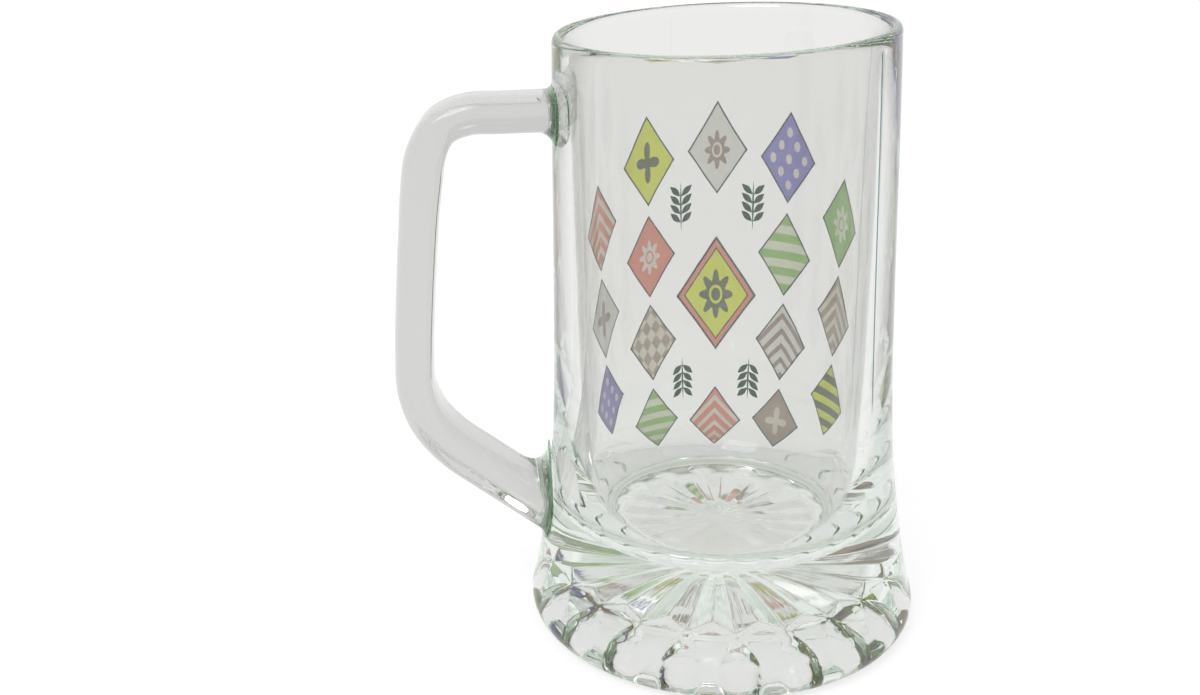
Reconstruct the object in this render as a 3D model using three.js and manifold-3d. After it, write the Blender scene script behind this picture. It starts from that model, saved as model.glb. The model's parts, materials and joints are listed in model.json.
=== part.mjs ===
// Half-litre pressed glass mug: a heavy-footed glass body with a star moulded under the foot,
// a glass handle joined to the wall at both ends, and small fired enamel tiles on the far wall.
// Millimetres, +Z up, the mug stands on z = 0 with its handle towards -X and its print towards +Y.
// The origin is under the middle of the whole mug, so the axis of the body stands at x = AXIS_X.
import * as THREE from "three";
import Module from "manifold-3d";

// Overall
const MUG_HEIGHT = 150;
const AXIS_X = 16.2;
const AROUND = 108; // vertices round the body: six to each of the 18 petals
const PETALS = 18;
const PETAL_HALF_ANGLE = Math.PI / PETALS;

// Outside of the body, radius and height from the widest part of the foot up to the rim
const OUTER_WALL = [
  [49.1, 4.2],
  [48.0, 9],
  [46.5, 17],
  [45.1, 26],
  [43.7, 36],
  [42.6, 46],
  [41.6, 60],
  [40.9, 82],
  [40.3, 108],
  [39.7, 134],
  [39.2, 148.4],
];
const FOOT_EDGE = [
  [46.2, 0],
  [47.8, 0.6],
  [48.8, 2.1],
];

// Rim and inside
const RIM_THICKNESS = 2.8;
const RIM_TOP_STEPS = 6;
const INNER_WALL = [
  [36.4, 148.4],
  [35.9, 138],
  [35.5, 112],
  [35.3, 86],
  [35.1, 62],
  [34.8, 45],
];
const INNER_FILLET = [
  [34.2, 37.5],
  [32.6, 31.8],
  [30.2, 28.2],
  [27.6, 26.3],
];
const INNER_FLOOR = [
  [20, 25.6],
  [10, 25.3],
];
const INNER_FLOOR_HEIGHT = 25.2;

// Hollow underside, radius and height: a low cone under the star, steeper outside it
const HOLLOW = [
  [0, 17.8],
  [8, 16.7],
  [16, 14.5],
  [24, 12],
  [29.5, 9.9],
  [33, 7.5],
  [36.5, 4.2],
  [38.5, 2.2],
  [41, 0.9],
  [43.8, 0],
];
const STANDING_RING_INNER = 43.8;

// Star: V petals that each end in a small sloping facet
const STAR_BUTTON_RADIUS = 4;
const PETAL_SLOPE = 0.36; // rise across a petal for each millimetre of its half width
const PETAL_DEEPEST = 1.9;
const PETAL_END_MIDDLE = 28.4;
const PETAL_END_BETWEEN = 30;
const PETAL_END_SLOPE = 1.1;

// Thumbprints: pointed arches between the petals, radius and depth along the middle of each
const ARCH_DEPTH = [
  [29.6, 0],
  [31, 0.12],
  [33, 0.5],
  [35, 1.25],
  [37, 1.9],
  [39, 1.85],
  [41, 1.3],
  [43, 0.4],
  [43.8, 0],
];
const ARCH_CURVE = 0.078; // how fast an arch rounds off sideways, per millimetre
const STAR_RADII = [4, 8, 12, 16, 20, 24, 26.4, 28.4, 30];
const ARCH_RADII = [31.6, 33.2, 34.8, 36.4, 38, 39.6, 41.4, 42.8, STANDING_RING_INNER];

// Handle: centre line (distance out from the axis, height), thickness across it and width along Y
const HANDLE_LINE = [
  [36, 132.9],
  [43, 132.9],
  [52, 133.0],
  [59.5, 133.0],
  [65.8, 130.6],
  [69.6, 124.6],
  [71.4, 116],
  [73.2, 102],
  [74.7, 88],
  [75.9, 74],
  [76.0, 64.5],
  [73.4, 56.2],
  [67.6, 48.8],
  [60, 42.6],
  [52, 36.4],
  [44, 30.2],
  [37, 24.8],
];
const HANDLE_SECTIONS = 56;
const HANDLE_AROUND = 20;
const HANDLE_SQUARENESS = 2.6; // exponent of the rounded section: 2 is an oval, higher is boxier
const UPPER_ARM_THICKNESS = 8.6;
const GRIP_THICKNESS = 9.9;
const LOWER_ARM_THICKNESS = 11;
const HANDLE_WIDTH = 16.5;
const JOINT_FLARE = 0.42; // extra size where the soft glass was pressed against the wall
const JOINT_FLARE_LENGTH = 4;
const JOINT_GAP = 0.12;

// Enamel tiles on the far wall, in columns: arc position, then the heights of the tiles in it
const PRINT_ANGLE = (84 * Math.PI) / 180; // middle of the print round the body, counted from +X
const TILE_THICKNESS = 0.12;
const TILE_GAP = 0.06;
const TILE_STRIP = 2.2; // widest flat strip across a tile
const SMALL_TILE = { halfWidth: 8.5, halfHeight: 11.5 };
const LARGE_TILE = { halfWidth: 12, halfHeight: 16.5 };
const TILE_COLUMNS = [
  { arc: -42, heights: [96, 71, 46], colours: ["red", "white", "blue"] },
  { arc: -21, heights: [109, 83.5, 58.5, 33], colours: ["yellow", "red", "brown", "green"] },
  { arc: 0, heights: [110.5, 71, 31.5], colours: ["white", "yellow", "red"] },
  { arc: 21, heights: [109, 83.5, 58.5, 33], colours: ["blue", "green", "white", "brown"] },
  { arc: 42, heights: [96, 71, 46], colours: ["green", "brown", "yellow"] },
];
const ENAMEL = {
  red: 0xb0503a,
  white: 0xdfe6dc,
  blue: 0x4f4f96,
  yellow: 0xb9c23a,
  brown: 0x6e6258,
  green: 0x7fa46a,
};

const glass = new THREE.MeshStandardMaterial({
  color: 0xe4ece4,
  roughness: 0.03,
  metalness: 0,
  transparent: true,
  opacity: 0.35,
});

const mug = new THREE.Group();
mug.name = "glass_mug";
mug.position.x = AXIS_X;

// Value of a profile given as points (place, value), straight between them
function valueAt(profile, place) {
  for (let i = 1; i < profile.length; i += 1) {
    const [near, nearValue] = profile[i - 1];
    const [far, farValue] = profile[i];
    if (place <= far) return nearValue + ((place - near) / (far - near)) * (farValue - nearValue);
  }
  return profile[profile.length - 1][1];
}

const wallByHeight = OUTER_WALL.map(([radius, height]) => [height, radius]);
const outerRadius = (height) => valueAt(wallByHeight, height);

// How far an angle is from the nearest multiple of the petal pitch, as a share of half a pitch
function petalOffset(angle, shift) {
  const pitch = 2 * PETAL_HALF_ANGLE;
  const turned = (angle - shift) / pitch;
  return Math.abs(turned - Math.round(turned)) * 2;
}

// Height of the moulded underside: the hollow, raised by the V petals and, outside them, by the arches
function undersideHeight(radius, angle) {
  const hollow = valueAt(HOLLOW, radius);
  if (radius <= STAR_BUTTON_RADIUS) return hollow;
  const halfWidth = radius * Math.tan(PETAL_HALF_ANGLE);
  const offset = petalOffset(angle, 0);
  const deepest = Math.min(PETAL_DEEPEST, PETAL_SLOPE * (halfWidth - 0.7));
  const end = PETAL_END_MIDDLE + (PETAL_END_BETWEEN - PETAL_END_MIDDLE) * offset;
  const petal = Math.min(deepest * (1 - offset), (end - radius) * PETAL_END_SLOPE);
  const across = petalOffset(angle, PETAL_HALF_ANGLE) * halfWidth;
  const arch = radius < ARCH_DEPTH[0][0] ? 0 : valueAt(ARCH_DEPTH, radius) - ARCH_CURVE * across ** 2;
  return hollow + Math.max(0, petal, arch);
}

// Closed surface from rings of points that run from a pole on the axis to another pole on the axis
function surfaceFromRings(startPole, rings, endPole) {
  const around = rings[0].length;
  const positions = [startPole, ...rings.flat(), endPole].flat();
  const faces = [];
  const vertex = (ring, step) => 1 + ring * around + (step % around);
  const last = 1 + rings.length * around;
  for (let step = 0; step < around; step += 1) {
    faces.push(0, vertex(0, step + 1), vertex(0, step));
    faces.push(last, vertex(rings.length - 1, step), vertex(rings.length - 1, step + 1));
    for (let ring = 1; ring < rings.length; ring += 1) {
      faces.push(vertex(ring - 1, step), vertex(ring - 1, step + 1), vertex(ring, step));
      faces.push(vertex(ring, step), vertex(ring - 1, step + 1), vertex(ring, step + 1));
    }
  }
  const geometry = new THREE.BufferGeometry();
  geometry.setAttribute("position", new THREE.Float32BufferAttribute(positions, 3));
  geometry.setIndex(faces);
  geometry.computeVertexNormals();
  return geometry;
}

function ringAt(radius, heightAt) {
  const ring = [];
  for (let step = 0; step < AROUND; step += 1) {
    const angle = Math.PI + (step * 2 * Math.PI) / AROUND;
    ring.push([radius * Math.cos(angle), radius * Math.sin(angle), heightAt(angle)]);
  }
  return ring;
}

const level = (height) => () => height;

// Glass body
const rimRadius = OUTER_WALL[OUTER_WALL.length - 1][0];
const rimBase = OUTER_WALL[OUTER_WALL.length - 1][1];
const bodyRings = [];
for (const radius of [...STAR_RADII, ...ARCH_RADII]) {
  const onFlat = radius >= STANDING_RING_INNER;
  bodyRings.push(ringAt(radius, onFlat ? level(0) : (angle) => undersideHeight(radius, angle)));
}
for (const [radius, height] of FOOT_EDGE) bodyRings.push(ringAt(radius, level(height)));
for (const [radius, height] of OUTER_WALL) bodyRings.push(ringAt(radius, level(height)));
for (let i = 1; i < RIM_TOP_STEPS; i += 1) {
  const turn = (Math.PI * i) / RIM_TOP_STEPS;
  const radius = rimRadius - (RIM_THICKNESS / 2) * (1 - Math.cos(turn));
  bodyRings.push(ringAt(radius, level(rimBase + (MUG_HEIGHT - rimBase) * Math.sin(turn))));
}
for (const [radius, height] of [...INNER_WALL, ...INNER_FILLET, ...INNER_FLOOR]) {
  bodyRings.push(ringAt(radius, level(height)));
}
const bodyGeometry = surfaceFromRings([0, 0, HOLLOW[0][1]], bodyRings, [0, 0, INNER_FLOOR_HEIGHT]);
const body = new THREE.Mesh(bodyGeometry, glass);
body.name = "glass_body";
mug.add(body);

// Handle: a rounded bar swept along its centre line in the XZ plane
const handleCurve = new THREE.CatmullRomCurve3(
  HANDLE_LINE.map(([out, height]) => new THREE.Vector3(-out, 0, height)),
  false,
  "centripetal",
);
const handleLength = handleCurve.getLength();

function handleThickness(share) {
  const toGrip = THREE.MathUtils.smoothstep(share, 0.18, 0.36);
  const toLower = THREE.MathUtils.smoothstep(share, 0.62, 0.8);
  const upper = THREE.MathUtils.lerp(UPPER_ARM_THICKNESS, GRIP_THICKNESS, toGrip);
  return THREE.MathUtils.lerp(upper, LOWER_ARM_THICKNESS, toLower);
}

// The bar swells smoothly over the last few millimetres before the wall
function jointFlare(point) {
  const clear = -point.x - outerRadius(point.z);
  return 1 + JOINT_FLARE * Math.exp(-Math.max(0, clear) / JOINT_FLARE_LENGTH);
}

function handleRing(share) {
  const centre = handleCurve.getPointAt(share);
  const tangent = handleCurve.getTangentAt(share);
  const across = new THREE.Vector3(tangent.z, 0, -tangent.x);
  const flare = jointFlare(centre);
  const ring = [];
  for (let step = 0; step < HANDLE_AROUND; step += 1) {
    const angle = (step * 2 * Math.PI) / HANDLE_AROUND;
    const rounded = (value) => Math.sign(value) * Math.abs(value) ** (2 / HANDLE_SQUARENESS);
    const side = rounded(Math.cos(angle)) * (handleThickness(share) / 2) * flare;
    const wide = rounded(Math.sin(angle)) * (HANDLE_WIDTH / 2) * flare;
    ring.push([centre.x + across.x * side, wide, centre.z + across.z * side]);
  }
  return ring;
}

const handleRings = [];
for (let i = 0; i < HANDLE_SECTIONS; i += 1) handleRings.push(handleRing(i / (HANDLE_SECTIONS - 1)));
const handleStart = handleCurve.getPointAt(0);
const handleEnd = handleCurve.getPointAt(1);
const sweptBar = surfaceFromRings(handleStart.toArray(), handleRings, handleEnd.toArray());

// Its two ends are cut to the curve of the wall, a hair clear of it
const wallSweep = OUTER_WALL.map(([radius, height]) => ringAt(radius + JOINT_GAP, level(height)));
const bottom = OUTER_WALL[0][1];
const wallCore = surfaceFromRings([0, 0, bottom], wallSweep, [0, 0, rimBase]);

const wasm = await Module();
wasm.setup();

function solid(geometry) {
  const made = new wasm.Manifold(
    new wasm.Mesh({
      numProp: 3,
      vertProperties: new Float32Array(geometry.attributes.position.array),
      triVerts: new Uint32Array(geometry.index.array),
    }),
  );
  return made;
}

function meshGeometry(shape) {
  const mesh = shape.getMesh();
  const geometry = new THREE.BufferGeometry();
  geometry.setAttribute("position", new THREE.Float32BufferAttribute(mesh.vertProperties, 3));
  geometry.setIndex(Array.from(mesh.triVerts));
  geometry.computeVertexNormals();
  return geometry;
}

const handle = new THREE.Mesh(meshGeometry(solid(sweptBar).subtract(solid(wallCore))), glass);
handle.name = "handle";
mug.add(handle);

// Enamel tile: a thin lozenge that follows the wall, built as strips across its width
function tileGeometry(arc, height, size) {
  const columns = 2 * Math.ceil(size.halfWidth / TILE_STRIP);
  const outline = [];
  for (let i = 0; i <= columns; i += 1) {
    const share = (2 * i) / columns - 1;
    const reach = size.halfHeight * (1 - Math.abs(share));
    outline.push({ along: arc + share * size.halfWidth, reach });
  }
  const place = (along, z, lift) => {
    const radius = outerRadius(z) + TILE_GAP + lift;
    const angle = PRINT_ANGLE - along / outerRadius(z);
    return [radius * Math.cos(angle), radius * Math.sin(angle), z];
  };
  const positions = [];
  const faces = [];
  // Each column line holds a lower and an upper point on the inner and the outer face
  outline.forEach(({ along, reach }) => {
    for (const lift of [0, TILE_THICKNESS]) {
      const gap = Math.max(reach, 0.15);
      positions.push(...place(along, height - gap, lift), ...place(along, height, lift));
      positions.push(...place(along, height + gap, lift));
    }
  });
  const at = (column, outer, row) => column * 6 + outer * 3 + row;
  const quad = (a, b, c, d) => faces.push(a, b, c, a, c, d);
  for (let i = 0; i < columns; i += 1) {
    for (const row of [0, 1]) {
      quad(at(i, 1, row), at(i, 1, row + 1), at(i + 1, 1, row + 1), at(i + 1, 1, row));
      quad(at(i, 0, row), at(i + 1, 0, row), at(i + 1, 0, row + 1), at(i, 0, row + 1));
    }
    quad(at(i, 0, 2), at(i + 1, 0, 2), at(i + 1, 1, 2), at(i, 1, 2));
    quad(at(i, 0, 0), at(i, 1, 0), at(i + 1, 1, 0), at(i + 1, 0, 0));
  }
  for (const row of [0, 1]) {
    quad(at(0, 0, row), at(0, 0, row + 1), at(0, 1, row + 1), at(0, 1, row));
    quad(at(columns, 0, row), at(columns, 1, row), at(columns, 1, row + 1), at(columns, 0, row + 1));
  }
  const geometry = new THREE.BufferGeometry();
  geometry.setAttribute("position", new THREE.Float32BufferAttribute(positions, 3));
  geometry.setIndex(faces);
  geometry.computeVertexNormals();
  return geometry;
}

TILE_COLUMNS.forEach(({ arc, heights, colours }, column) => {
  heights.forEach((height, row) => {
    const central = arc === 0 && row === 1;
    const enamel = new THREE.MeshStandardMaterial({
      color: ENAMEL[colours[row]],
      roughness: 0.35,
      metalness: 0,
    });
    const tile = new THREE.Mesh(tileGeometry(arc, height, central ? LARGE_TILE : SMALL_TILE), enamel);
    tile.name = central ? "enamel_centre_tile" : `enamel_tile_${column + 1}_${row + 1}`;
    mug.add(tile);
  });
});

export default mug;
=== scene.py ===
import json
import math

import bpy
from mathutils import Matrix, Vector

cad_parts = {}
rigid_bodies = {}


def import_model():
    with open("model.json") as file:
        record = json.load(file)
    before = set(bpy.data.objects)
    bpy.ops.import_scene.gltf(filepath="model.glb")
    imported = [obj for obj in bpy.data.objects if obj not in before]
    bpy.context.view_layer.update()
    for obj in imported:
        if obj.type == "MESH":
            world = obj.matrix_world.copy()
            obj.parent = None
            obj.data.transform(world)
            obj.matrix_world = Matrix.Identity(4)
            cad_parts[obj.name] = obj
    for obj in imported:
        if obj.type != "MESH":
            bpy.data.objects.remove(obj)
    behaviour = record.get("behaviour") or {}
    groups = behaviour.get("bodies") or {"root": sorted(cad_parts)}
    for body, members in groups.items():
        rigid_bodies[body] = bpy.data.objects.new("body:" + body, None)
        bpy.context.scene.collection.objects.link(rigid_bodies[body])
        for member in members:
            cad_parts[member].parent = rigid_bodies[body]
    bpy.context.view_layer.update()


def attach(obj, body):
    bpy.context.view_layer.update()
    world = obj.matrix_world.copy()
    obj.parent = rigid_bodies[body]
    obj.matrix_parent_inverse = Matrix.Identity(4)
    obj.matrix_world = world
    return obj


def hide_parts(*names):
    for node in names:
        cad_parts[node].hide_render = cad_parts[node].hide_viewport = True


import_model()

mm = 0.001
axisX = 16.2  # the body's axis stands here, so that the whole mug is centred on the origin


def linear(red, green, blue):
    # 0-255 screen colour to the linear values that the shaders take
    values = []
    for value in (red, green, blue):
        share = value / 255
        values.append(share / 12.92 if share <= 0.04045 else ((share + 0.055) / 1.055) ** 2.4)
    return (*values, 1)


def smoothLine(points, steps):
    # centripetal Catmull-Rom curve through a list of (a, b) points
    first, last = Vector(points[0]), Vector(points[-1])
    line = [2 * first - Vector(points[1]), *map(Vector, points), 2 * last - Vector(points[-2])]
    out = []
    for p0, p1, p2, p3 in zip(line, line[1:], line[2:], line[3:]):
        t1 = (p1 - p0).length ** 0.5
        t2 = t1 + (p2 - p1).length ** 0.5
        t3 = t2 + (p3 - p2).length ** 0.5
        for step in range(steps):
            t = t1 + (t2 - t1) * step / steps
            a1 = p0.lerp(p1, t / t1)
            a2 = p1.lerp(p2, (t - t1) / (t2 - t1))
            a3 = p2.lerp(p3, (t - t2) / (t3 - t2))
            b1 = a1.lerp(a2, t / t2)
            b2 = a2.lerp(a3, (t - t1) / (t3 - t1))
            out.append(b1.lerp(b2, (t - t1) / (t2 - t1)))
    return out + [last]


def easeStep(low, high, value):
    share = min(1, max(0, (value - low) / (high - low)))
    return share * share * (3 - 2 * share)


def meshObject(name, points, faces, material, smooth=True):
    # points in millimetres from the body's axis; the object itself stays at the origin
    mesh = bpy.data.meshes.new(name)
    mesh.from_pydata([((x + axisX) * mm, y * mm, z * mm) for x, y, z in points], [], faces)
    mesh.polygons.foreach_set("use_smooth", [smooth] * len(mesh.polygons))
    mesh.update()
    obj = bpy.data.objects.new(name, mesh)
    bpy.context.scene.collection.objects.link(obj)
    obj.data.materials.append(material)
    return obj


class Nodes:
    # short ways to add and join the nodes of one tree
    def __init__(self, tree):
        self.tree = tree
        tree.nodes.clear()

    def add(self, kind, **values):
        node = self.tree.nodes.new(kind)
        for key, value in values.items():
            setattr(node, key, value)
        return node

    def plug(self, value, socket):
        if isinstance(value, bpy.types.NodeSocket):
            self.tree.links.new(value, socket)
        else:
            socket.default_value = value

    def math(self, operation, *values):
        node = self.add("ShaderNodeMath", operation=operation)
        for value, socket in zip(values, node.inputs):
            self.plug(value, socket)
        return node.outputs[0]

    def times(self, a, b):
        return self.math("MULTIPLY", a, b)

    def minus(self, a, b):
        return self.math("SUBTRACT", a, b)

    def squares(self, a, b):
        return self.math("ADD", self.times(a, a), self.times(b, b))

    def split(self, value):
        node = self.add("ShaderNodeSeparateXYZ")
        self.plug(value, node.inputs[0])
        return node.outputs

    def mix(self, factor, a, b):
        node = self.add("ShaderNodeMix", data_type="RGBA")
        self.plug(factor, node.inputs[0])
        self.plug(a, node.inputs[6])  # 6 and 7 are the two colours
        self.plug(b, node.inputs[7])
        return node.outputs[2]

    def noise(self, coordinates, scale, detail=2, roughness=0.5):
        node = self.add("ShaderNodeTexNoise")
        self.plug(coordinates, node.inputs["Vector"])
        self.plug(scale, node.inputs["Scale"])
        self.plug(detail, node.inputs["Detail"])
        self.plug(roughness, node.inputs["Roughness"])
        return node.outputs[0]

    def band(self, value, low, high):
        # 1 above high, 0 below low, smooth between
        node = self.add("ShaderNodeMapRange", interpolation_type="SMOOTHSTEP")
        self.plug(value, node.inputs[0])
        self.plug(low, node.inputs[1])
        self.plug(high, node.inputs[2])
        return node.outputs[0]

    def between(self, value, low, full, fade, high):
        # 1 from full to fade, 0 below low and above high
        return self.minus(self.band(value, low, full), self.band(value, fade, high))

    def lineAt(self, value, where, halfWidth, fade=1.4):
        # 1 within half a width of a place, fading out beyond
        away = self.math("ABSOLUTE", self.minus(value, where))
        return self.minus(1, self.band(away, halfWidth, halfWidth * fade))

    def bump(self, height, distance, strength=1, over=None):
        node = self.add("ShaderNodeBump")
        self.plug(strength, node.inputs["Strength"])
        self.plug(distance, node.inputs["Distance"])
        self.plug(height, node.inputs["Height"])
        if over:
            self.plug(over, node.inputs["Normal"])
        return node.outputs[0]


def newMaterial(name):
    material = bpy.data.materials.new(name)
    material.use_nodes = True
    return material, Nodes(material.node_tree)


cameraSetup = {
    # found by fitting the outline of the mug to the photograph
    "place": (-0.03028, -0.33075, 0.2017),
    "ahead": (-0.05874, 0.92569, -0.3737),
    "right": (0.9974, 0.03875, -0.0608),
    "lens": 42.504,
    "sensor": 36,
    "shift": (0.125, 0.0194),
    "nearest": 0.01,
}

camera = bpy.data.cameras.new("camera")
camera.lens = cameraSetup["lens"]
camera.sensor_width = cameraSetup["sensor"]
camera.shift_x, camera.shift_y = cameraSetup["shift"]
camera.clip_start = cameraSetup["nearest"]
cameraObject = bpy.data.objects.new("camera", camera)
ahead = Vector(cameraSetup["ahead"]).normalized()
right = Vector(cameraSetup["right"])
right = (right - ahead * right.dot(ahead)).normalized()
turned = Matrix((right, right.cross(ahead), -ahead)).transposed().to_4x4()
cameraObject.matrix_world = Matrix.Translation(cameraSetup["place"]) @ turned
bpy.context.scene.collection.objects.link(cameraObject)
bpy.context.scene.camera = cameraObject
bpy.context.scene.view_settings.view_transform = "Standard"

studio = {
    "bounces": 32,  # light crosses many facets inside the foot
    "floorSize": 6,
    "floorBelow": 0.0002,  # keeps the floor clear of the ring that the foot stands on
    "floorColour": (0.36, 0.36, 0.36, 1),
    "floorGlow": 0.7,
    "skyWhite": 0.95,
    "skyWhiteUpTo": 0.72,  # sine of the elevation where the sky starts to darken
    "skyTop": 0.7,
    "skyTopFrom": 0.95,
    "lampSize": 0.7,
    "lampPower": 6,
    "lampPlace": (-0.5, -0.7, 1.1),
    "lampAim": (0, 0, 0.07),
}

cycles = bpy.context.scene.cycles
cycles.max_bounces = studio["bounces"]
cycles.glossy_bounces = studio["bounces"]
cycles.transmission_bounces = studio["bounces"]

world = bpy.data.worlds.new("studio")
bpy.context.scene.world = world
world.use_nodes = True
sky = Nodes(world.node_tree)
direction = sky.split(sky.add("ShaderNodeTexCoord").outputs["Generated"])
darker = sky.band(direction[2], studio["skyWhiteUpTo"], studio["skyTopFrom"])
white, top = studio["skyWhite"], studio["skyTop"]
background = sky.add("ShaderNodeBackground")
sky.plug(sky.mix(darker, (white, white, white, 1), (top, top, top, 1)), background.inputs[0])
sky.plug(background.outputs[0], sky.add("ShaderNodeOutputWorld").inputs[0])


def floorMaterial():
    # pale paint that keeps the shadow, with a glow that only camera and glass see
    material, nodes = newMaterial("studio_floor")
    rays = nodes.add("ShaderNodeLightPath").outputs
    seen = nodes.math("MAXIMUM", rays["Is Camera Ray"], rays["Is Glossy Ray"])
    seen = nodes.math("MAXIMUM", seen, rays["Is Transmission Ray"])
    paint = nodes.add("ShaderNodeBsdfDiffuse")
    nodes.plug(studio["floorColour"], paint.inputs[0])
    glow = nodes.add("ShaderNodeEmission")
    nodes.plug(nodes.times(seen, studio["floorGlow"]), glow.inputs[1])
    both = nodes.add("ShaderNodeAddShader")
    nodes.plug(paint.outputs[0], both.inputs[0])
    nodes.plug(glow.outputs[0], both.inputs[1])
    nodes.plug(both.outputs[0], nodes.add("ShaderNodeOutputMaterial").inputs[0])
    return material


half = studio["floorSize"] / 2
floorMesh = bpy.data.meshes.new("studio_floor")
corners = [(-half, -half, 0), (half, -half, 0), (half, half, 0), (-half, half, 0)]
floorMesh.from_pydata(corners, [], [(0, 1, 2, 3)])
floor = bpy.data.objects.new("studio_floor", floorMesh)
floor.location.z = -studio["floorBelow"]
floor.data.materials.append(floorMaterial())
bpy.context.scene.collection.objects.link(floor)

lamp = bpy.data.lights.new("soft_lamp", "AREA")
lamp.size = studio["lampSize"]
lamp.energy = studio["lampPower"]
lampObject = bpy.data.objects.new("soft_lamp", lamp)
lampObject.location = studio["lampPlace"]
aim = Vector(studio["lampAim"]) - lampObject.location
lampObject.rotation_euler = aim.to_track_quat("-Z", "Y").to_euler()
bpy.context.scene.collection.objects.link(lampObject)
print("camera, floor and light are set")


glassLook = {
    # lengths here are in metres, as the shaders see them
    "wallTint": (0.81, 0.81, 0.797, 1),
    # paler than the wall's tint: painted light that brightens the foot and the lower wall
    "paintedLightFootTint": (0.88, 0.88, 0.868, 1),
    "paintedLightFootUpTo": (0.03, 0.08),  # heights between which the foot's paler tint, painted light, gives way to the wall's
    "footEdgeTint": (0.5, 0.56, 0.47, 1),  # round the lower edge of the foot, where the glass shows green
    "footEdgeFrom": 0.0458,  # radius
    "footEdgeUpTo": (0.0022, 0.004),
    "paintedEdgeShadeTint": (0.36, 0.365, 0.35, 1),  # painted shade: greyer where the wall is seen edge on
    "paintedEdgeShadeFrom": (0.47, 0.84),
    "paintedEdgeShadeHeights": (0.03, 0.06, 0.144, 0.148),
    "paintedShadeLine": (math.radians(-41), 0.006),  # painted shade: a dark line up the outside of the wall, over the raised line of vertices: turn, half width
    "paintedShadeLineFade": 1.5,
    "paintedShadeLineFrom": 0.0375,  # radius, so that the line is only on the outside
    "raisedAndShadedLineUpTo": (0.062, 0.068, 0.1462, 0.1474),
    "paintedShadeLineTint": (0.02, 0.07, 0.07, 1),
    "barTint": (0.6, 0.602, 0.585, 1),  # the bar has two faces where the bowl has four
    "seamTint": (0.16, 0.4, 0.17, 1),
    "meltedTint": (1, 1, 1, 1),
    # painted shade: near-black glass on the raised line inside the grip
    "paintedShadeMouldLineTint": (0.08, 0.1, 0.08, 1),
    "ior": 1.52,
    "thick": (0.55, 0.8, 0.645, 1),  # colour that long ways through the glass take on
    "density": 3,
    "rippleScale": 90,
    "rippleHeight": 0.00003,
    "drawLines": 42,  # fine lines that the press left along the star's petals
    "drawHeight": 0.00003,
    "drawAlong": 2,  # how fast they change outwards
    "starEdge": (0.027, 0.03),  # radii between which they fade out
    "starTop": 0.0195,  # all of the underside lies below this height
    "nearAxis": 0.0005,
    "wearRoughness": 0.18,  # fine scratches where the foot rubs on tables
    "wearUpTo": (0.0002, 0.0012),
    "wearScale": 900,
    "wearShare": (0.45, 0.7),
}


def fromAxis(nodes, place):
    # x and y counted from the body's axis
    return nodes.minus(place[0], axisX * mm), place[1]


def starDrawLines(nodes, place):
    # noise drawn out along the radius, only under the foot inside the arches
    x, y = fromAxis(nodes, place)
    radius = nodes.math("MAXIMUM", nodes.math("SQRT", nodes.squares(x, y)), glassLook["nearAxis"])
    around = nodes.add("ShaderNodeCombineXYZ")
    nodes.plug(nodes.math("DIVIDE", x, radius), around.inputs[0])
    nodes.plug(nodes.math("DIVIDE", y, radius), around.inputs[1])
    nodes.plug(nodes.times(radius, glassLook["drawAlong"]), around.inputs[2])
    lines = nodes.noise(around.outputs[0], glassLook["drawLines"])
    inStar = nodes.minus(1, nodes.band(radius, *glassLook["starEdge"]))
    under = nodes.math("LESS_THAN", place[2], glassLook["starTop"])
    return nodes.times(lines, nodes.times(inStar, under))


def paintedShadeLineMask(nodes, place):
    # 1 on the painted shade line that runs up the outside of the wall
    x, y = fromAxis(nodes, place)
    turn, halfWidth = glassLook["paintedShadeLine"]
    onLine = nodes.lineAt(nodes.math("ARCTAN2", y, x), turn, halfWidth, glassLook["paintedShadeLineFade"])
    outside = nodes.math("GREATER_THAN", nodes.squares(x, y), glassLook["paintedShadeLineFrom"] ** 2)
    upright = nodes.between(place[2], *glassLook["raisedAndShadedLineUpTo"])
    return nodes.times(onLine, nodes.times(outside, upright))


def footEdgeMask(nodes, place):
    # 1 on the rounded edge that the foot stands on
    x, y = fromAxis(nodes, place)
    outside = nodes.math("GREATER_THAN", nodes.squares(x, y), glassLook["footEdgeFrom"] ** 2)
    below = nodes.minus(1, nodes.band(place[2], *glassLook["footEdgeUpTo"]))
    return nodes.times(outside, below)


def bodyTint(nodes, place, tint):
    # painted shade where the wall is seen edge on and along the dark line up the wall, and the foot's
    # green lower edge
    facing = nodes.add("ShaderNodeLayerWeight").outputs["Facing"]
    paintedEdgeShade = nodes.band(facing, *glassLook["paintedEdgeShadeFrom"])
    onBowl = nodes.between(place[2], *glassLook["paintedEdgeShadeHeights"])
    # painted shade: greyer glass where the bowl is seen edge on
    tint = nodes.mix(nodes.times(paintedEdgeShade, onBowl), tint, glassLook["paintedEdgeShadeTint"])
    # painted shade: a near-black line up the outside of the wall
    tint = nodes.mix(paintedShadeLineMask(nodes, place), tint, glassLook["paintedShadeLineTint"])
    return nodes.mix(footEdgeMask(nodes, place), tint, glassLook["footEdgeTint"])


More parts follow.
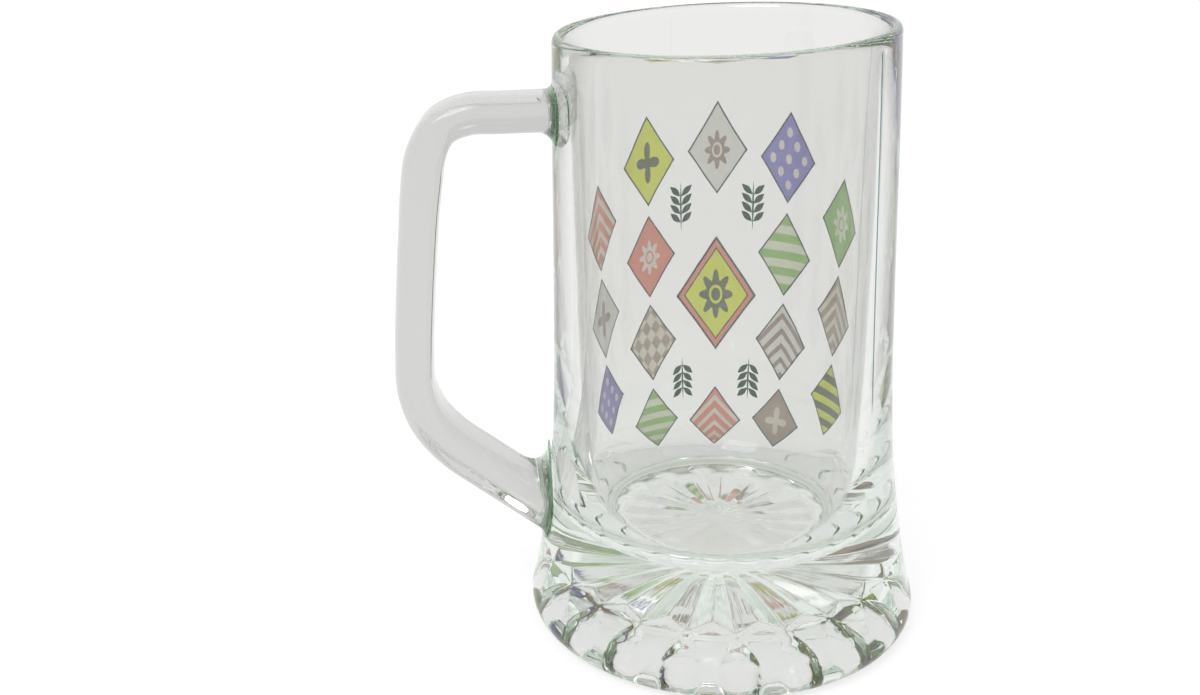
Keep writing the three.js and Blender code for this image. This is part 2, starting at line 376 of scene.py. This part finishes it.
def glassMaterial(name, wallTint, paintedLightFootTint, forBody=False):
    material, nodes = newMaterial(name)
    solid = nodes.add("ShaderNodeTexCoord").outputs["Object"]
    place = nodes.split(solid)
    ripple = nodes.noise(solid, glassLook["rippleScale"], detail=1)
    bump = nodes.bump(ripple, glassLook["rippleHeight"])
    if forBody:
        bump = nodes.bump(starDrawLines(nodes, place), glassLook["drawHeight"], over=bump)
    nearTable = nodes.minus(1, nodes.band(place[2], *glassLook["wearUpTo"]))
    scuffs = nodes.band(nodes.noise(solid, glassLook["wearScale"], detail=3), *glassLook["wearShare"])
    rough = nodes.times(nodes.times(nearTable, scuffs), glassLook["wearRoughness"])
    # painted light: the foot's tint is paler than the wall's and fades out between the two heights
    tint = nodes.mix(nodes.band(place[2], *glassLook["paintedLightFootUpTo"]), paintedLightFootTint, wallTint)
    if forBody:
        tint = bodyTint(nodes, place, tint)
    shader = nodes.add("ShaderNodeBsdfPrincipled")
    nodes.plug(tint, shader.inputs["Base Color"])
    nodes.plug(rough, shader.inputs["Roughness"])
    nodes.plug(glassLook["ior"], shader.inputs["IOR"])
    nodes.plug(1, shader.inputs["Transmission Weight"])
    nodes.plug(bump, shader.inputs["Normal"])
    out = nodes.add("ShaderNodeOutputMaterial")
    nodes.plug(shader.outputs[0], out.inputs["Surface"])
    if forBody:
        inside = nodes.add("ShaderNodeVolumeAbsorption")
        nodes.plug(glassLook["thick"], inside.inputs["Color"])
        nodes.plug(glassLook["density"], inside.inputs["Density"])
        nodes.plug(inside.outputs[0], out.inputs["Volume"])
    return material


body = {
    "height": 150,
    "petals": 18,
    "perPetal": 20,  # vertices round the body for each petal
    "outerWall": [
        (49.1, 4.6), (48.97, 5.8), (48.1, 8.9), (47.1, 14), (45.96, 20), (44.97, 27), (43.8, 35),
        (42.63, 45), (41.64, 60), (40.96, 80), (40.45, 100), (40.02, 120), (39.65, 135), (39.25, 148.3),
    ],
    "footEdge": [(45.2, 0), (46.1, 0.15), (47.05, 0.6), (47.9, 1.35), (48.55, 2.3), (48.96, 3.4)],
    "ringInner": 43.8,
    "rimThickness": 2.8,
    "rimSteps": 12,
    "closingLineStep": 139,  # the upright line of vertices raised where the mould closed
    "closingLineRaised": 0.05,
    "raisedAndShadedLineUpTo": (64, 146),
    "outerSkin": 1,  # rings less than this inside the outer wall belong to it
    "innerWall": [(36.42, 148.3), (35.9, 138), (35.5, 112), (35.3, 86), (35.1, 62), (34.8, 45)],
    "innerFillet": [(34.2, 37.5), (32.6, 31.8), (30.2, 28.2), (27.6, 26.3)],
    "innerFloor": [(20, 25.6), (10, 25.3), (3, 25.2)],
    "hollow": [
        (0, 17.8), (8, 16.7), (16, 14.5), (24, 12), (29.5, 9.9), (33, 7.5), (36.5, 4.2), (38.5, 2.2),
        (41, 0.9), (43.8, 0),
    ],
    "button": 4,
    "petalSlope": 0.36,
    "petalFlat": 0.7,  # half width of a petal that is too narrow to have any depth
    "petalDeepest": 1.9,
    "petalEnd": (28.4, 30),  # on a petal's middle, between petals
    "petalClose": 1.1,  # slope of the small facet that ends a petal
    "archDepth": [
        (29.6, 0), (31, 0.12), (33, 0.5), (35, 1.3), (37, 2), (39, 1.9), (41, 1.3), (43, 0.4), (43.8, 0),
    ],
    "archCurve": 0.085,
    "firstRing": 1.2,
    "ringStep": (1.0, 0.4),  # from one ring of vertices to the next: in the star, from finerFrom out
    "finerFrom": 26,
    "outerSteps": 8,  # points of the smooth lines for each given one
    "underSteps": 6,
    "innerSteps": 5,
}

wallLine = smoothLine(body["outerWall"], body["outerSteps"])
hollowLine = smoothLine(body["hollow"], body["underSteps"])
archLine = smoothLine(body["archDepth"], body["underSteps"])


def outerRadius(height):
    if height <= wallLine[0].y:
        return wallLine[0].x
    for low, high in zip(wallLine, wallLine[1:]):
        if height <= high.y:
            return low.x + (high.x - low.x) * (height - low.y) / (high.y - low.y)
    return wallLine[-1].x


def alongLine(line, radius):
    for near, far in zip(line, line[1:]):
        if radius <= far.x:
            return near.y + (far.y - near.y) * (radius - near.x) / (far.x - near.x)
    return line[-1].y


def petalOffset(angle, shift):
    # 0 on the middle of a petal, 1 between two of them
    pitch = 2 * math.pi / body["petals"]
    turned = (angle - shift) / pitch
    return abs(turned - round(turned)) * 2


def undersideHeight(radius, angle):
    # hollow with V petals and, outside them, pointed arches half a pitch round
    hollow = alongLine(hollowLine, radius)
    if radius <= body["button"]:
        return hollow
    halfPitch = math.pi / body["petals"]
    halfWidth = radius * math.tan(halfPitch)
    offset = petalOffset(angle, 0)
    deepest = min(body["petalDeepest"], body["petalSlope"] * (halfWidth - body["petalFlat"]))
    endMiddle, endBetween = body["petalEnd"]
    end = endMiddle + (endBetween - endMiddle) * offset
    petal = max(0, min(deepest * (1 - offset), (end - radius) * body["petalClose"]))
    across = petalOffset(angle, halfPitch) * halfWidth
    arch = 0
    if radius > archLine[0].x:
        arch = max(0, alongLine(archLine, radius) - body["archCurve"] * across**2)
    return hollow + max(petal, arch)


def bodyRings():
    # (radius, height function) from the star's centre out, up the wall, over the rim and down inside
    rings = []
    radius = body["firstRing"]
    coarse, fine = body["ringStep"]
    while radius < body["ringInner"]:
        rings.append((radius, lambda angle, r=radius: undersideHeight(r, angle)))
        radius += fine if radius > body["finerFrom"] else coarse
    flat = [(body["ringInner"], 0), *body["footEdge"]]
    flat += [tuple(point) for point in wallLine]
    rimRadius, rimBase = wallLine[-1]
    for step in range(1, body["rimSteps"]):
        turn = math.pi * step / body["rimSteps"]
        inward = body["rimThickness"] / 2 * (1 - math.cos(turn))
        flat.append((rimRadius - inward, rimBase + (body["height"] - rimBase) * math.sin(turn)))
    inside = smoothLine(body["innerWall"] + body["innerFillet"] + body["innerFloor"], body["innerSteps"])
    flat += [tuple(point) for point in inside]
    for radius, height in flat:
        rings.append((radius, lambda angle, h=height: h))
    return rings


def onClosingLine(step, radius, height):
    low, high = body["raisedAndShadedLineUpTo"]
    outside = low < height < high and radius > outerRadius(height) - body["outerSkin"]
    return step == body["closingLineStep"] and outside


def makeBody(material):
    around = body["petals"] * body["perPetal"]
    points = [(0, 0, body["hollow"][0][1])]
    rings = bodyRings()
    for radius, heightAt in rings:
        for step in range(around):
            angle = math.pi + 2 * math.pi * step / around
            height = heightAt(angle)
            raised = onClosingLine(step, radius, height)
            reach = radius + (body["closingLineRaised"] if raised else 0)
            points.append((reach * math.cos(angle), reach * math.sin(angle), height))
    points.append((0, 0, body["innerFloor"][-1][1]))
    last = len(points) - 1
    top = 1 + (len(rings) - 1) * around
    faces = []
    for step in range(around):
        following = (step + 1) % around
        faces.append((0, 1 + following, 1 + step))
        faces.append((last, top + step, top + following))
        for ring in range(1, len(rings)):
            below, above = 1 + (ring - 1) * around, 1 + ring * around
            faces.append((below + step, below + following, above + following, above + step))
    return meshObject("glass_body_pressed", points, faces, material)


pressedGlass = glassMaterial(
    "clear_pressed_glass", glassLook["wallTint"], glassLook["paintedLightFootTint"], forBody=True
)
bodyObject = makeBody(pressedGlass)
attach(bodyObject, "root")
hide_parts("glass_body")
print("glass body:", len(bodyObject.data.polygons), "faces")


handle = {
    # distance out from the axis, height
    "line": [
        (34, 132.9), (43, 132.9), (52, 133), (59.5, 133), (65.8, 130.6), (69.6, 124.6), (71.4, 116),
        (73.2, 102), (74.7, 88), (75.9, 74), (76, 64.5), (73.4, 56.2), (67.6, 48.8), (60, 42.6),
        (52, 36.4), (44, 30.2), (35, 23.2),
    ],
    "lineSteps": 24,
    "linePoints": 600,
    "thickness": (8.8, 9.86, 11),  # upper arm, grip, lower arm
    "toGrip": (0.18, 0.36),  # shares of the way where the thickness changes
    "toLowerArm": (0.62, 0.8),
    "bendExtra": 0.9,  # thicker in the upper bend
    "bendAt": (0.265, 0.055),
    "width": 16.5,
    "squareness": 3.4,
    "filletSquareness": 1.2,
    "around": 48,
    "sections": 150,
    "crowding": 0.13,  # sections stand closer together near the wall
    "embed": 0.4,  # how deep the ends sit in the wall
    "endRings": (0.75, 0.5, 0.25),  # rings that close an end, as shares of the way out
    "fillets": {"upperOuter": 2, "upperInner": 4, "lowerInner": 9.7, "lowerOuter": 1.5, "side": 2},
    "seamSections": 8,  # rings nearest the wall, where the melted edge shows green
    "clearSeam": 0.6,  # the lower arm's outer side keeps the bar's glass above this cosine
    "mouldLine": (0.26, 0.58, 0.18),  # thin raised line inside the grip: from, to, height
    "mouldLineEase": 0.02,
    "mouldLineStep": 29,  # which of the lines round the bar is raised
    "mouldLineWidth": 0.03,
}


def handleLine():
    # evenly spaced points along the middle of the bar, with the share of the way
    curve = smoothLine(handle["line"], handle["lineSteps"])
    lengths = [0]
    for a, b in zip(curve, curve[1:]):
        lengths.append(lengths[-1] + (b - a).length)
    count = handle["linePoints"]
    out, at = [], 0
    for i in range(count + 1):
        wanted = lengths[-1] * i / count
        while at < len(lengths) - 2 and lengths[at + 1] < wanted:
            at += 1
        share = (wanted - lengths[at]) / (lengths[at + 1] - lengths[at])
        out.append((curve[at].lerp(curve[at + 1], share), i / count))
    return out


def barThickness(share):
    upper, grip, lower = handle["thickness"]
    first = upper + (grip - upper) * easeStep(*handle["toGrip"], share)
    middle, spread = handle["bendAt"]
    extra = handle["bendExtra"] * math.exp(-(((share - middle) / spread) ** 2))
    return first + (lower - first) * easeStep(*handle["toLowerArm"], share) + extra


def filletRadius(share, side, wide):
    sizes = handle["fillets"]
    if share < 0.5:
        own = sizes["upperOuter"] if side > 0 else sizes["upperInner"]
    else:
        own = sizes["lowerOuter"] if side > 0 else sizes["lowerInner"]
    return own * side**2 + sizes["side"] * wide**2


def mouldLineAngle():
    return 2 * math.pi * handle["mouldLineStep"] / handle["around"]


def mouldLineHeight(share):
    # rises and falls gently at its two ends
    first, last, height = handle["mouldLine"]
    ease = handle["mouldLineEase"]
    return height * (easeStep(first, first + ease, share) * (1 - easeStep(last - ease, last, share)))


def towardsCorners(value, power):
    # power below 1 makes a round section boxier, above 1 draws its corners in
    return math.copysign(abs(value) ** power, value)


def barPoint(line, index, angle):
    # point of the bar's skin, swollen near the wall by a round fillet
    centre, share = line[index]
    ahead = line[min(index + 1, len(line) - 1)][0] - line[max(index - 1, 0)][0]
    ahead.normalize()
    across = Vector((-ahead.y, ahead.x))  # away from the finger gap
    side = towardsCorners(math.cos(angle), 2 / handle["squareness"])
    wide = towardsCorners(math.sin(angle), 2 / handle["squareness"])
    offset = side * barThickness(share) / 2
    y = wide * handle["width"] / 2
    if angle == mouldLineAngle():
        offset += mouldLineHeight(share) * side
        y += mouldLineHeight(share) * wide
    flat = centre + across * offset
    clear = math.hypot(flat.x, y) - outerRadius(flat.y)
    normalSide = towardsCorners(math.cos(angle), handle["filletSquareness"])
    normalWide = towardsCorners(math.sin(angle), handle["filletSquareness"])
    size = math.hypot(normalSide, normalWide)
    normalSide, normalWide = normalSide / size, normalWide / size
    radius = filletRadius(share, normalSide, normalWide)
    grow = 0
    if clear < radius:
        short = 1 - max(0, clear) / radius
        grow = radius * (1 - math.sqrt(max(0, 1 - short**2)))
    lowerWeb = share > 0.5 and normalSide < 0  # this fillet climbs straight up the wall
    flat = flat + (Vector((0, -1)) if lowerWeb else across) * (normalSide * grow)
    y += normalWide * grow
    return Vector((-flat.x, y, flat.y)), clear


def barAngles():
    # even steps round the bar, and closer ones beside the mould line
    angles = [2 * math.pi * step / handle["around"] for step in range(handle["around"])]
    beside = [handle["mouldLineWidth"] * times for times in (-2, -1, 1, 2)]
    return sorted(angles + [mouldLineAngle() + away for away in beside])


def barColumn(line, angle):
    # the points of one line along the bar, from inside the wall to inside the wall
    last = len(line) - 1
    skin = [barPoint(line, i, angle) for i in range(len(line))]
    start = next(i for i in range(last) if skin[i + 1][1] > -handle["embed"])
    end = next(i for i in range(last, 0, -1) if skin[i - 1][1] > -handle["embed"])
    column = []
    for section in range(handle["sections"] + 1):
        share = section / handle["sections"]
        share = share - handle["crowding"] * math.sin(2 * math.pi * share)
        at = start + (end - start) * share
        low = min(int(at), last - 1)
        column.append(skin[low][0].lerp(skin[low + 1][0], at - low))
    return column


def ringFaces(outer, inner, flip):
    faces = []
    for i in range(len(outer)):
        j = (i + 1) % len(outer)
        quad = (outer[i], outer[j], inner[j], inner[i])
        faces.append(quad if flip else quad[::-1])
    return faces


def capFaces(points, rim, flip):
    # closes an end with rings that lie on the wall's own curve, a little inside it
    turns = [(math.atan2(points[i].y, -points[i].x), points[i].z) for i in rim]
    middle = (sum(t[0] for t in turns) / len(turns), sum(t[1] for t in turns) / len(turns))
    before, faces = rim, []
    for share in handle["endRings"]:
        ring = []
        for turn, height in turns:
            t = middle[0] + (turn - middle[0]) * share
            z = middle[1] + (height - middle[1]) * share
            radius = outerRadius(z) - handle["embed"]
            points.append(Vector((-radius * math.cos(t), radius * math.sin(t), z)))
            ring.append(len(points) - 1)
        faces += ringFaces(before, ring, flip)
        before = ring
    radius = outerRadius(middle[1]) - handle["embed"]
    points.append(Vector((-radius * math.cos(middle[0]), radius * math.sin(middle[0]), middle[1])))
    centre = len(points) - 1
    for i, a in enumerate(before):
        b = before[(i + 1) % len(before)]
        faces.append((centre, a, b) if flip else (centre, b, a))
    return faces


def barGlassIndex(section, angle):
    # 0 clear bar, 1 green seam, 2 melted end, 3 painted shade on the mould line
    sections = handle["sections"]
    along = (section + 0.5) / sections
    if section >= sections:
        return 2
    if min(section, sections - 1 - section) < handle["seamSections"]:
        return 0 if along > 0.5 and math.cos(angle) > handle["clearSeam"] else 1
    first, last = handle["mouldLine"][:2]
    away = angle - mouldLineAngle()
    slack = 0.001
    if -handle["mouldLineWidth"] - slack < away < slack and first < along < last:
        return 3
    return 0


def makeHandle(glasses):
    line = handleLine()
    angles = barAngles()
    around, sections = len(angles), handle["sections"]
    columns = [barColumn(line, angle) for angle in angles]
    points = []
    for section in range(sections + 1):
        points += [column[section] for column in columns]
    faces = []
    for section in range(sections):
        for step in range(around):
            a, b = section * around + step, section * around + (step + 1) % around
            faces.append((a, b, b + around, a + around))
    for section, flip in ((0, False), (sections, True)):
        rim = [section * around + step for step in range(around)]
        faces += capFaces(points, rim, flip)
    obj = meshObject("glass_handle_bar", points, faces, glasses[0])
    for glass in glasses[1:]:
        obj.data.materials.append(glass)
    for polygon in obj.data.polygons:
        section, step = divmod(polygon.index, around)
        polygon.material_index = barGlassIndex(section, angles[step])
    return obj


barGlasses = []
for name, tint in (
    ("clear_bar_glass", "barTint"),
    ("green_seam_glass", "seamTint"),
    ("melted_end_glass", "meltedTint"),
    ("painted_shade_line_glass", "paintedShadeMouldLineTint"),
):
    barGlasses.append(glassMaterial(name, glassLook[tint], glassLook[tint]))
handleObject = makeHandle(barGlasses)
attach(handleObject, "root")
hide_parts("handle")
print("handle:", len(handleObject.data.polygons), "faces")


enamel = {
    "middle": math.radians(84),
    "middleHeight": 71,  # sprigs above it point up, below it down
    "lift": 0.12,
    "sink": 0.05,
    "small": (8.5, 11.5),  # half width, half height
    "large": (12, 16.5),
    "meshSteps": (24, 10),  # across, up
    "tip": 0.012,  # least height of a lozenge at its two side corners
    # along the wall from the print's middle, then heights, grounds and motifs of its lozenges
    "columns": [
        (-42, (96, 71, 46), ("red", "white", "blue"), ("chevrons", "quatrefoil", "dots")),
        (
            -21, (109, 83.5, 58.5, 33), ("yellow", "red", "brown", "green"),
            ("quatrefoil", "rosette", "chequers", "bands"),
        ),
        (0, (110.5, 71, 31.5), ("white", "yellow", "red"), ("rosette", "rosette", "chevrons")),
        (
            21, (109, 83.5, 58.5, 33), ("blue", "green", "white", "brown"),
            ("dots", "bands", "chevrons", "quatrefoil"),
        ),
        (42, (96, 71, 46), ("green", "brown", "yellow"), ("rosette", "chevrons", "bands")),
    ],
    "line": linear(26, 58, 50),
    "lineFrom": (0.93, 0.95),
    "innerLine": (0.8, 0.016),  # only the large one: place, half width
    "innerField": (0.8, 0.82),
    "grain": (0.94, 0.94, 0.9, 1),
    "grainNoise": (2600, 2, 0.7),  # scale, detail, roughness
    "grainFrom": (0.35, 0.75),
    "grainShare": 0.2,
    "cloud": (0.74, 0.74, 0.7, 1),
    "cloudNoise": (260, 2, 0.6),
    "cloudFrom": (0.3, 0.8),
    "cloudShare": 0.12,
    "letThrough": 0.88,  # share of the light that passes the thin enamel
    "roughness": (0.42, 0.12),  # smooth places, how much rougher the grain is
    "raised": 0.00003,
    "raisedStrength": 0.4,
    "grounds": {
        "red": linear(252, 156, 132),
        "white": linear(250, 250, 243),
        "blue": linear(146, 144, 222),
        "yellow": linear(244, 252, 74),
        "brown": linear(196, 176, 160),
        "green": linear(166, 218, 120),
    },
    "motifs": {
        "red": linear(250, 244, 230),
        "white": linear(176, 158, 146),
        "blue": linear(248, 236, 236),
        "yellow": linear(98, 110, 72),
        "brown": linear(250, 244, 224),
        "green": linear(248, 252, 228),
    },
}

motifSizes = {
    # shares of a lozenge's half width and half height
    "rosette": {"lobes": 8, "wave": 0.09, "reach": 0.34, "ring": (0.14, 0.022)},
    "quatrefoil": {"lobes": 4, "wave": 0.16, "reach": 0.3},
    "chevrons": {"slope": 0.8, "count": 2.6, "gap": 0.58},
    "bands": {"count": 2.5, "start": 0.25, "gap": 0.5},
    "chequers": {"count": 2.5},
    "dots": {"count": 1.75, "area": 0.07},
}


def flower(nodes, u, v, sizes):
    # 1 inside a round-lobed outline, and the distance from its heart
    reach = nodes.math("POWER", nodes.squares(u, v), 0.5)
    turn = nodes.times(nodes.math("ARCTAN2", v, u), sizes["lobes"])
    lobes = nodes.math("MULTIPLY_ADD", nodes.math("COSINE", turn), sizes["wave"], sizes["reach"])
    return nodes.math("LESS_THAN", reach, lobes), reach


def rosette(nodes, u, v, sizes):
    # flower with a ring round its heart
    inside, reach = flower(nodes, u, v, sizes)
    return nodes.times(inside, nodes.minus(1, nodes.lineAt(reach, *sizes["ring"])))


def quatrefoil(nodes, u, v, sizes):
    return flower(nodes, u, v, sizes)[0]


def chevrons(nodes, u, v, sizes):
    slope = nodes.math("MULTIPLY_ADD", nodes.math("ABSOLUTE", u), sizes["slope"], v)
    phase = nodes.math("FRACT", nodes.times(slope, sizes["count"]))
    return nodes.math("GREATER_THAN", phase, sizes["gap"])


def bands(nodes, u, v, sizes):
    phase = nodes.math("FRACT", nodes.math("MULTIPLY_ADD", v, sizes["count"], sizes["start"]))
    return nodes.math("GREATER_THAN", phase, sizes["gap"])


def chequers(nodes, u, v, sizes):
    rising = nodes.math("FLOOR", nodes.times(nodes.math("ADD", u, v), sizes["count"]))
    falling = nodes.math("FLOOR", nodes.times(nodes.minus(u, v), sizes["count"]))
    odd = nodes.math("PINGPONG", nodes.math("ADD", rising, falling), 1)
    return nodes.math("GREATER_THAN", odd, 0.5)


def dots(nodes, u, v, sizes):
    inCell = []
    for slanted in (nodes.math("ADD", u, v), nodes.minus(u, v)):
        cell = nodes.math("FRACT", nodes.math("MULTIPLY_ADD", slanted, sizes["count"], 0.5))
        inCell.append(nodes.minus(cell, 0.5))
    return nodes.math("LESS_THAN", nodes.squares(*inCell), sizes["area"])


motifs = {
    "rosette": rosette,
    "quatrefoil": quatrefoil,
    "chevrons": chevrons,
    "bands": bands,
    "chequers": chequers,
    "dots": dots,
}


def onWall(arc, height, lift):
    # a place on the printed side: along the wall from the print's middle, and up
    radius = outerRadius(height) + lift
    angle = enamel["middle"] - arc / outerRadius(height)
    return (radius * math.cos(angle), radius * math.sin(angle), height)


def lozengeMesh(name, arc, height, size, material):
    # inner skin in the wall, outer skin over it, and a thin edge between them
    across, rows = enamel["meshSteps"]
    halfWidth, halfHeight = size
    points, uvs, faces = [], [], []
    for lift in (-enamel["sink"], enamel["lift"]):
        for i in range(across + 1):
            u = 2 * i / across - 1
            reach = max(1 - abs(u), enamel["tip"])
            for j in range(rows + 1):
                v = (2 * j / rows - 1) * reach
                points.append(onWall(arc + u * halfWidth, height + v * halfHeight, lift))
                uvs.append((u / 2 + 0.5, v / 2 + 0.5))
    layer = (across + 1) * (rows + 1)

    def at(outer, i, j):
        return outer * layer + i * (rows + 1) + j

    for i in range(across):
        for j in range(rows):
            faces.append((at(1, i, j), at(1, i, j + 1), at(1, i + 1, j + 1), at(1, i + 1, j)))
            faces.append((at(0, i, j), at(0, i + 1, j), at(0, i + 1, j + 1), at(0, i, j + 1)))
        faces.append((at(0, i, rows), at(0, i + 1, rows), at(1, i + 1, rows), at(1, i, rows)))
        faces.append((at(0, i, 0), at(1, i, 0), at(1, i + 1, 0), at(0, i + 1, 0)))
    for j in range(rows):
        faces.append((at(0, 0, j), at(0, 0, j + 1), at(1, 0, j + 1), at(1, 0, j)))
        faces.append((at(0, across, j), at(1, across, j), at(1, across, j + 1), at(0, across, j + 1)))
    obj = meshObject(name, points, faces, material, smooth=False)
    layerUv = obj.data.uv_layers.new(name="lozenge")
    for loop in obj.data.loops:
        layerUv.data[loop.index].uv = uvs[loop.vertex_index]
    return obj


def printGrain(nodes):
    # the fine grain of fired enamel, and the coordinates that it lies in
    solid = nodes.add("ShaderNodeTexCoord").outputs["Object"]
    return nodes.band(nodes.noise(solid, *enamel["grainNoise"]), *enamel["grainFrom"]), solid


def enamelShader(nodes, face, grain):
    # satin skin that lets most of the light through
    shader = nodes.add("ShaderNodeBsdfPrincipled")
    smooth, rougher = enamel["roughness"]
    nodes.plug(enamel["letThrough"], shader.inputs["Transmission Weight"])
    nodes.plug(face, shader.inputs["Base Color"])
    nodes.plug(nodes.math("MULTIPLY_ADD", grain, rougher, smooth), shader.inputs["Roughness"])
    nodes.plug(shader.outputs[0], nodes.add("ShaderNodeOutputMaterial").inputs[0])
    return shader


def enamelMaterial(name, colour, motif, large):
    # fired enamel: ground colour, a motif in a second colour, thin dark outline and a fine print grain
    material, nodes = newMaterial(name)
    place = nodes.split(nodes.add("ShaderNodeUVMap", uv_map="lozenge").outputs[0])
    u = nodes.math("MULTIPLY_ADD", place[0], 2, -1)
    v = nodes.math("MULTIPLY_ADD", place[1], 2, -1)
    edge = nodes.math("ADD", nodes.math("ABSOLUTE", u), nodes.math("ABSOLUTE", v))
    drawn = motifs[motif](nodes, u, v, motifSizes[motif])
    face = nodes.mix(drawn, enamel["grounds"][colour], enamel["motifs"][colour])
    if large:
        face = nodes.mix(nodes.band(edge, *enamel["innerField"]), face, enamel["grounds"]["red"])
        face = nodes.mix(nodes.lineAt(edge, *enamel["innerLine"]), face, enamel["line"])
    face = nodes.mix(nodes.band(edge, *enamel["lineFrom"]), face, enamel["line"])
    grain, solid = printGrain(nodes)
    cloud = nodes.band(nodes.noise(solid, *enamel["cloudNoise"]), *enamel["cloudFrom"])
    face = nodes.mix(nodes.times(grain, enamel["grainShare"]), face, enamel["grain"])
    face = nodes.mix(nodes.times(cloud, enamel["cloudShare"]), face, enamel["cloud"])
    shader = enamelShader(nodes, face, grain)
    raised = nodes.math("ADD", grain, drawn)
    bump = nodes.bump(raised, enamel["raised"], strength=enamel["raisedStrength"])
    nodes.plug(bump, shader.inputs["Normal"])
    return material


lozenges = 0
for column, (arc, heights, colours, drawings) in enumerate(enamel["columns"]):
    for row, (height, colour, motif) in enumerate(zip(heights, colours, drawings)):
        central = arc == 0 and row == 1
        node = "enamel_centre_tile" if central else f"enamel_tile_{column + 1}_{row + 1}"
        size = enamel["large" if central else "small"]
        paint = enamelMaterial(f"enamel_{colour}_{motif}_{column + 1}{row + 1}", colour, motif, central)
        tile = lozengeMesh(node.replace("enamel", "print"), arc, height, size, paint)
        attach(tile, "root")
        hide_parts(node)
        lozenges += 1
print("print:", lozenges, "lozenges")


sprigs = {
    "places": [(-10.5, 96), (10.5, 96), (-10.5, 46), (10.5, 46)],  # along the wall, height
    "stem": (13, 0.5),  # length, width
    "leaf": (4, 1.7),
    "leafSteps": 6,
    "leafEnds": 0.03,  # keeps a little width at a leaf's two ends
    "pairs": 4,
    "pairsFrom": 0.16,  # share of the stem below the first pair
    "pairsOver": 0.74,
    "fromStem": 0.35,
    "spread": math.radians(48),
    "ink": linear(22, 74, 62),
    "grainShare": 0.14,
    "lift": 0.1,
}


def leafFaces(points, faces, base, turn, size):
    # pointed leaf lying on the wall: outline up one side and down the other, inner and outer skin
    length, width = size
    steps, ends = sprigs["leafSteps"], sprigs["leafEnds"]
    outline = []
    for i in range(steps + 1):
        share = min(max(i / steps, ends), 1 - ends)
        outline.append((length * i / steps, width / 2 * math.sin(math.pi * share)))
    outline += [(along, -side) for along, side in reversed(outline)]
    first, count = len(points), len(outline)
    for lift in (-enamel["sink"], sprigs["lift"]):
        for along, side in outline:
            arc = base[0] + along * math.sin(turn) + side * math.cos(turn)
            points.append(onWall(arc, base[1] + along * math.cos(turn) - side * math.sin(turn), lift))
    for i in range(count):
        j = (i + 1) % count
        faces.append((first + j, first + i, first + count + i, first + count + j))
    for i in range(steps):
        a, b, c, d = i, i + 1, count - 2 - i, count - 1 - i
        faces.append((first + a, first + b, first + c, first + d))
        faces.append((first + count + a, first + count + d, first + count + c, first + count + b))


def sprigMesh(name, arc, height, material):
    # a stem with its pairs of leaves; the lower sprigs hang the other way
    points, faces = [], []
    stemLength = sprigs["stem"][0]
    upward = 1 if height > enamel["middleHeight"] else -1
    lean = 0 if upward > 0 else math.pi
    foot = (arc, height - upward * stemLength / 2)
    leafFaces(points, faces, foot, lean, sprigs["stem"])
    for pair in range(sprigs["pairs"]):
        share = sprigs["pairsFrom"] + sprigs["pairsOver"] * pair / sprigs["pairs"]
        at = (foot[0], foot[1] + upward * stemLength * share)
        for side in (-1, 1):
            turn = lean + side * sprigs["spread"]
            away = sprigs["fromStem"]
            base = (at[0] + away * math.sin(turn), at[1] + away * math.cos(turn))
            leafFaces(points, faces, base, turn, sprigs["leaf"])
    return meshObject(name, points, faces, material, smooth=False)


def leafInk():
    # fired ink in dark green, with the same fine grain as the lozenges
    material, nodes = newMaterial("enamel_leaf_ink")
    grain = printGrain(nodes)[0]
    speckle = nodes.times(grain, sprigs["grainShare"])
    enamelShader(nodes, nodes.mix(speckle, sprigs["ink"], enamel["grounds"]["green"]), grain)
    return material


inkOfLeaves = leafInk()
for number, (arc, height) in enumerate(sprigs["places"]):
    sprig = sprigMesh(f"print_sprig_{number + 1}", arc, height, inkOfLeaves)
    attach(sprig, "root")
print("print:", len(sprigs["places"]), "leaf sprigs")
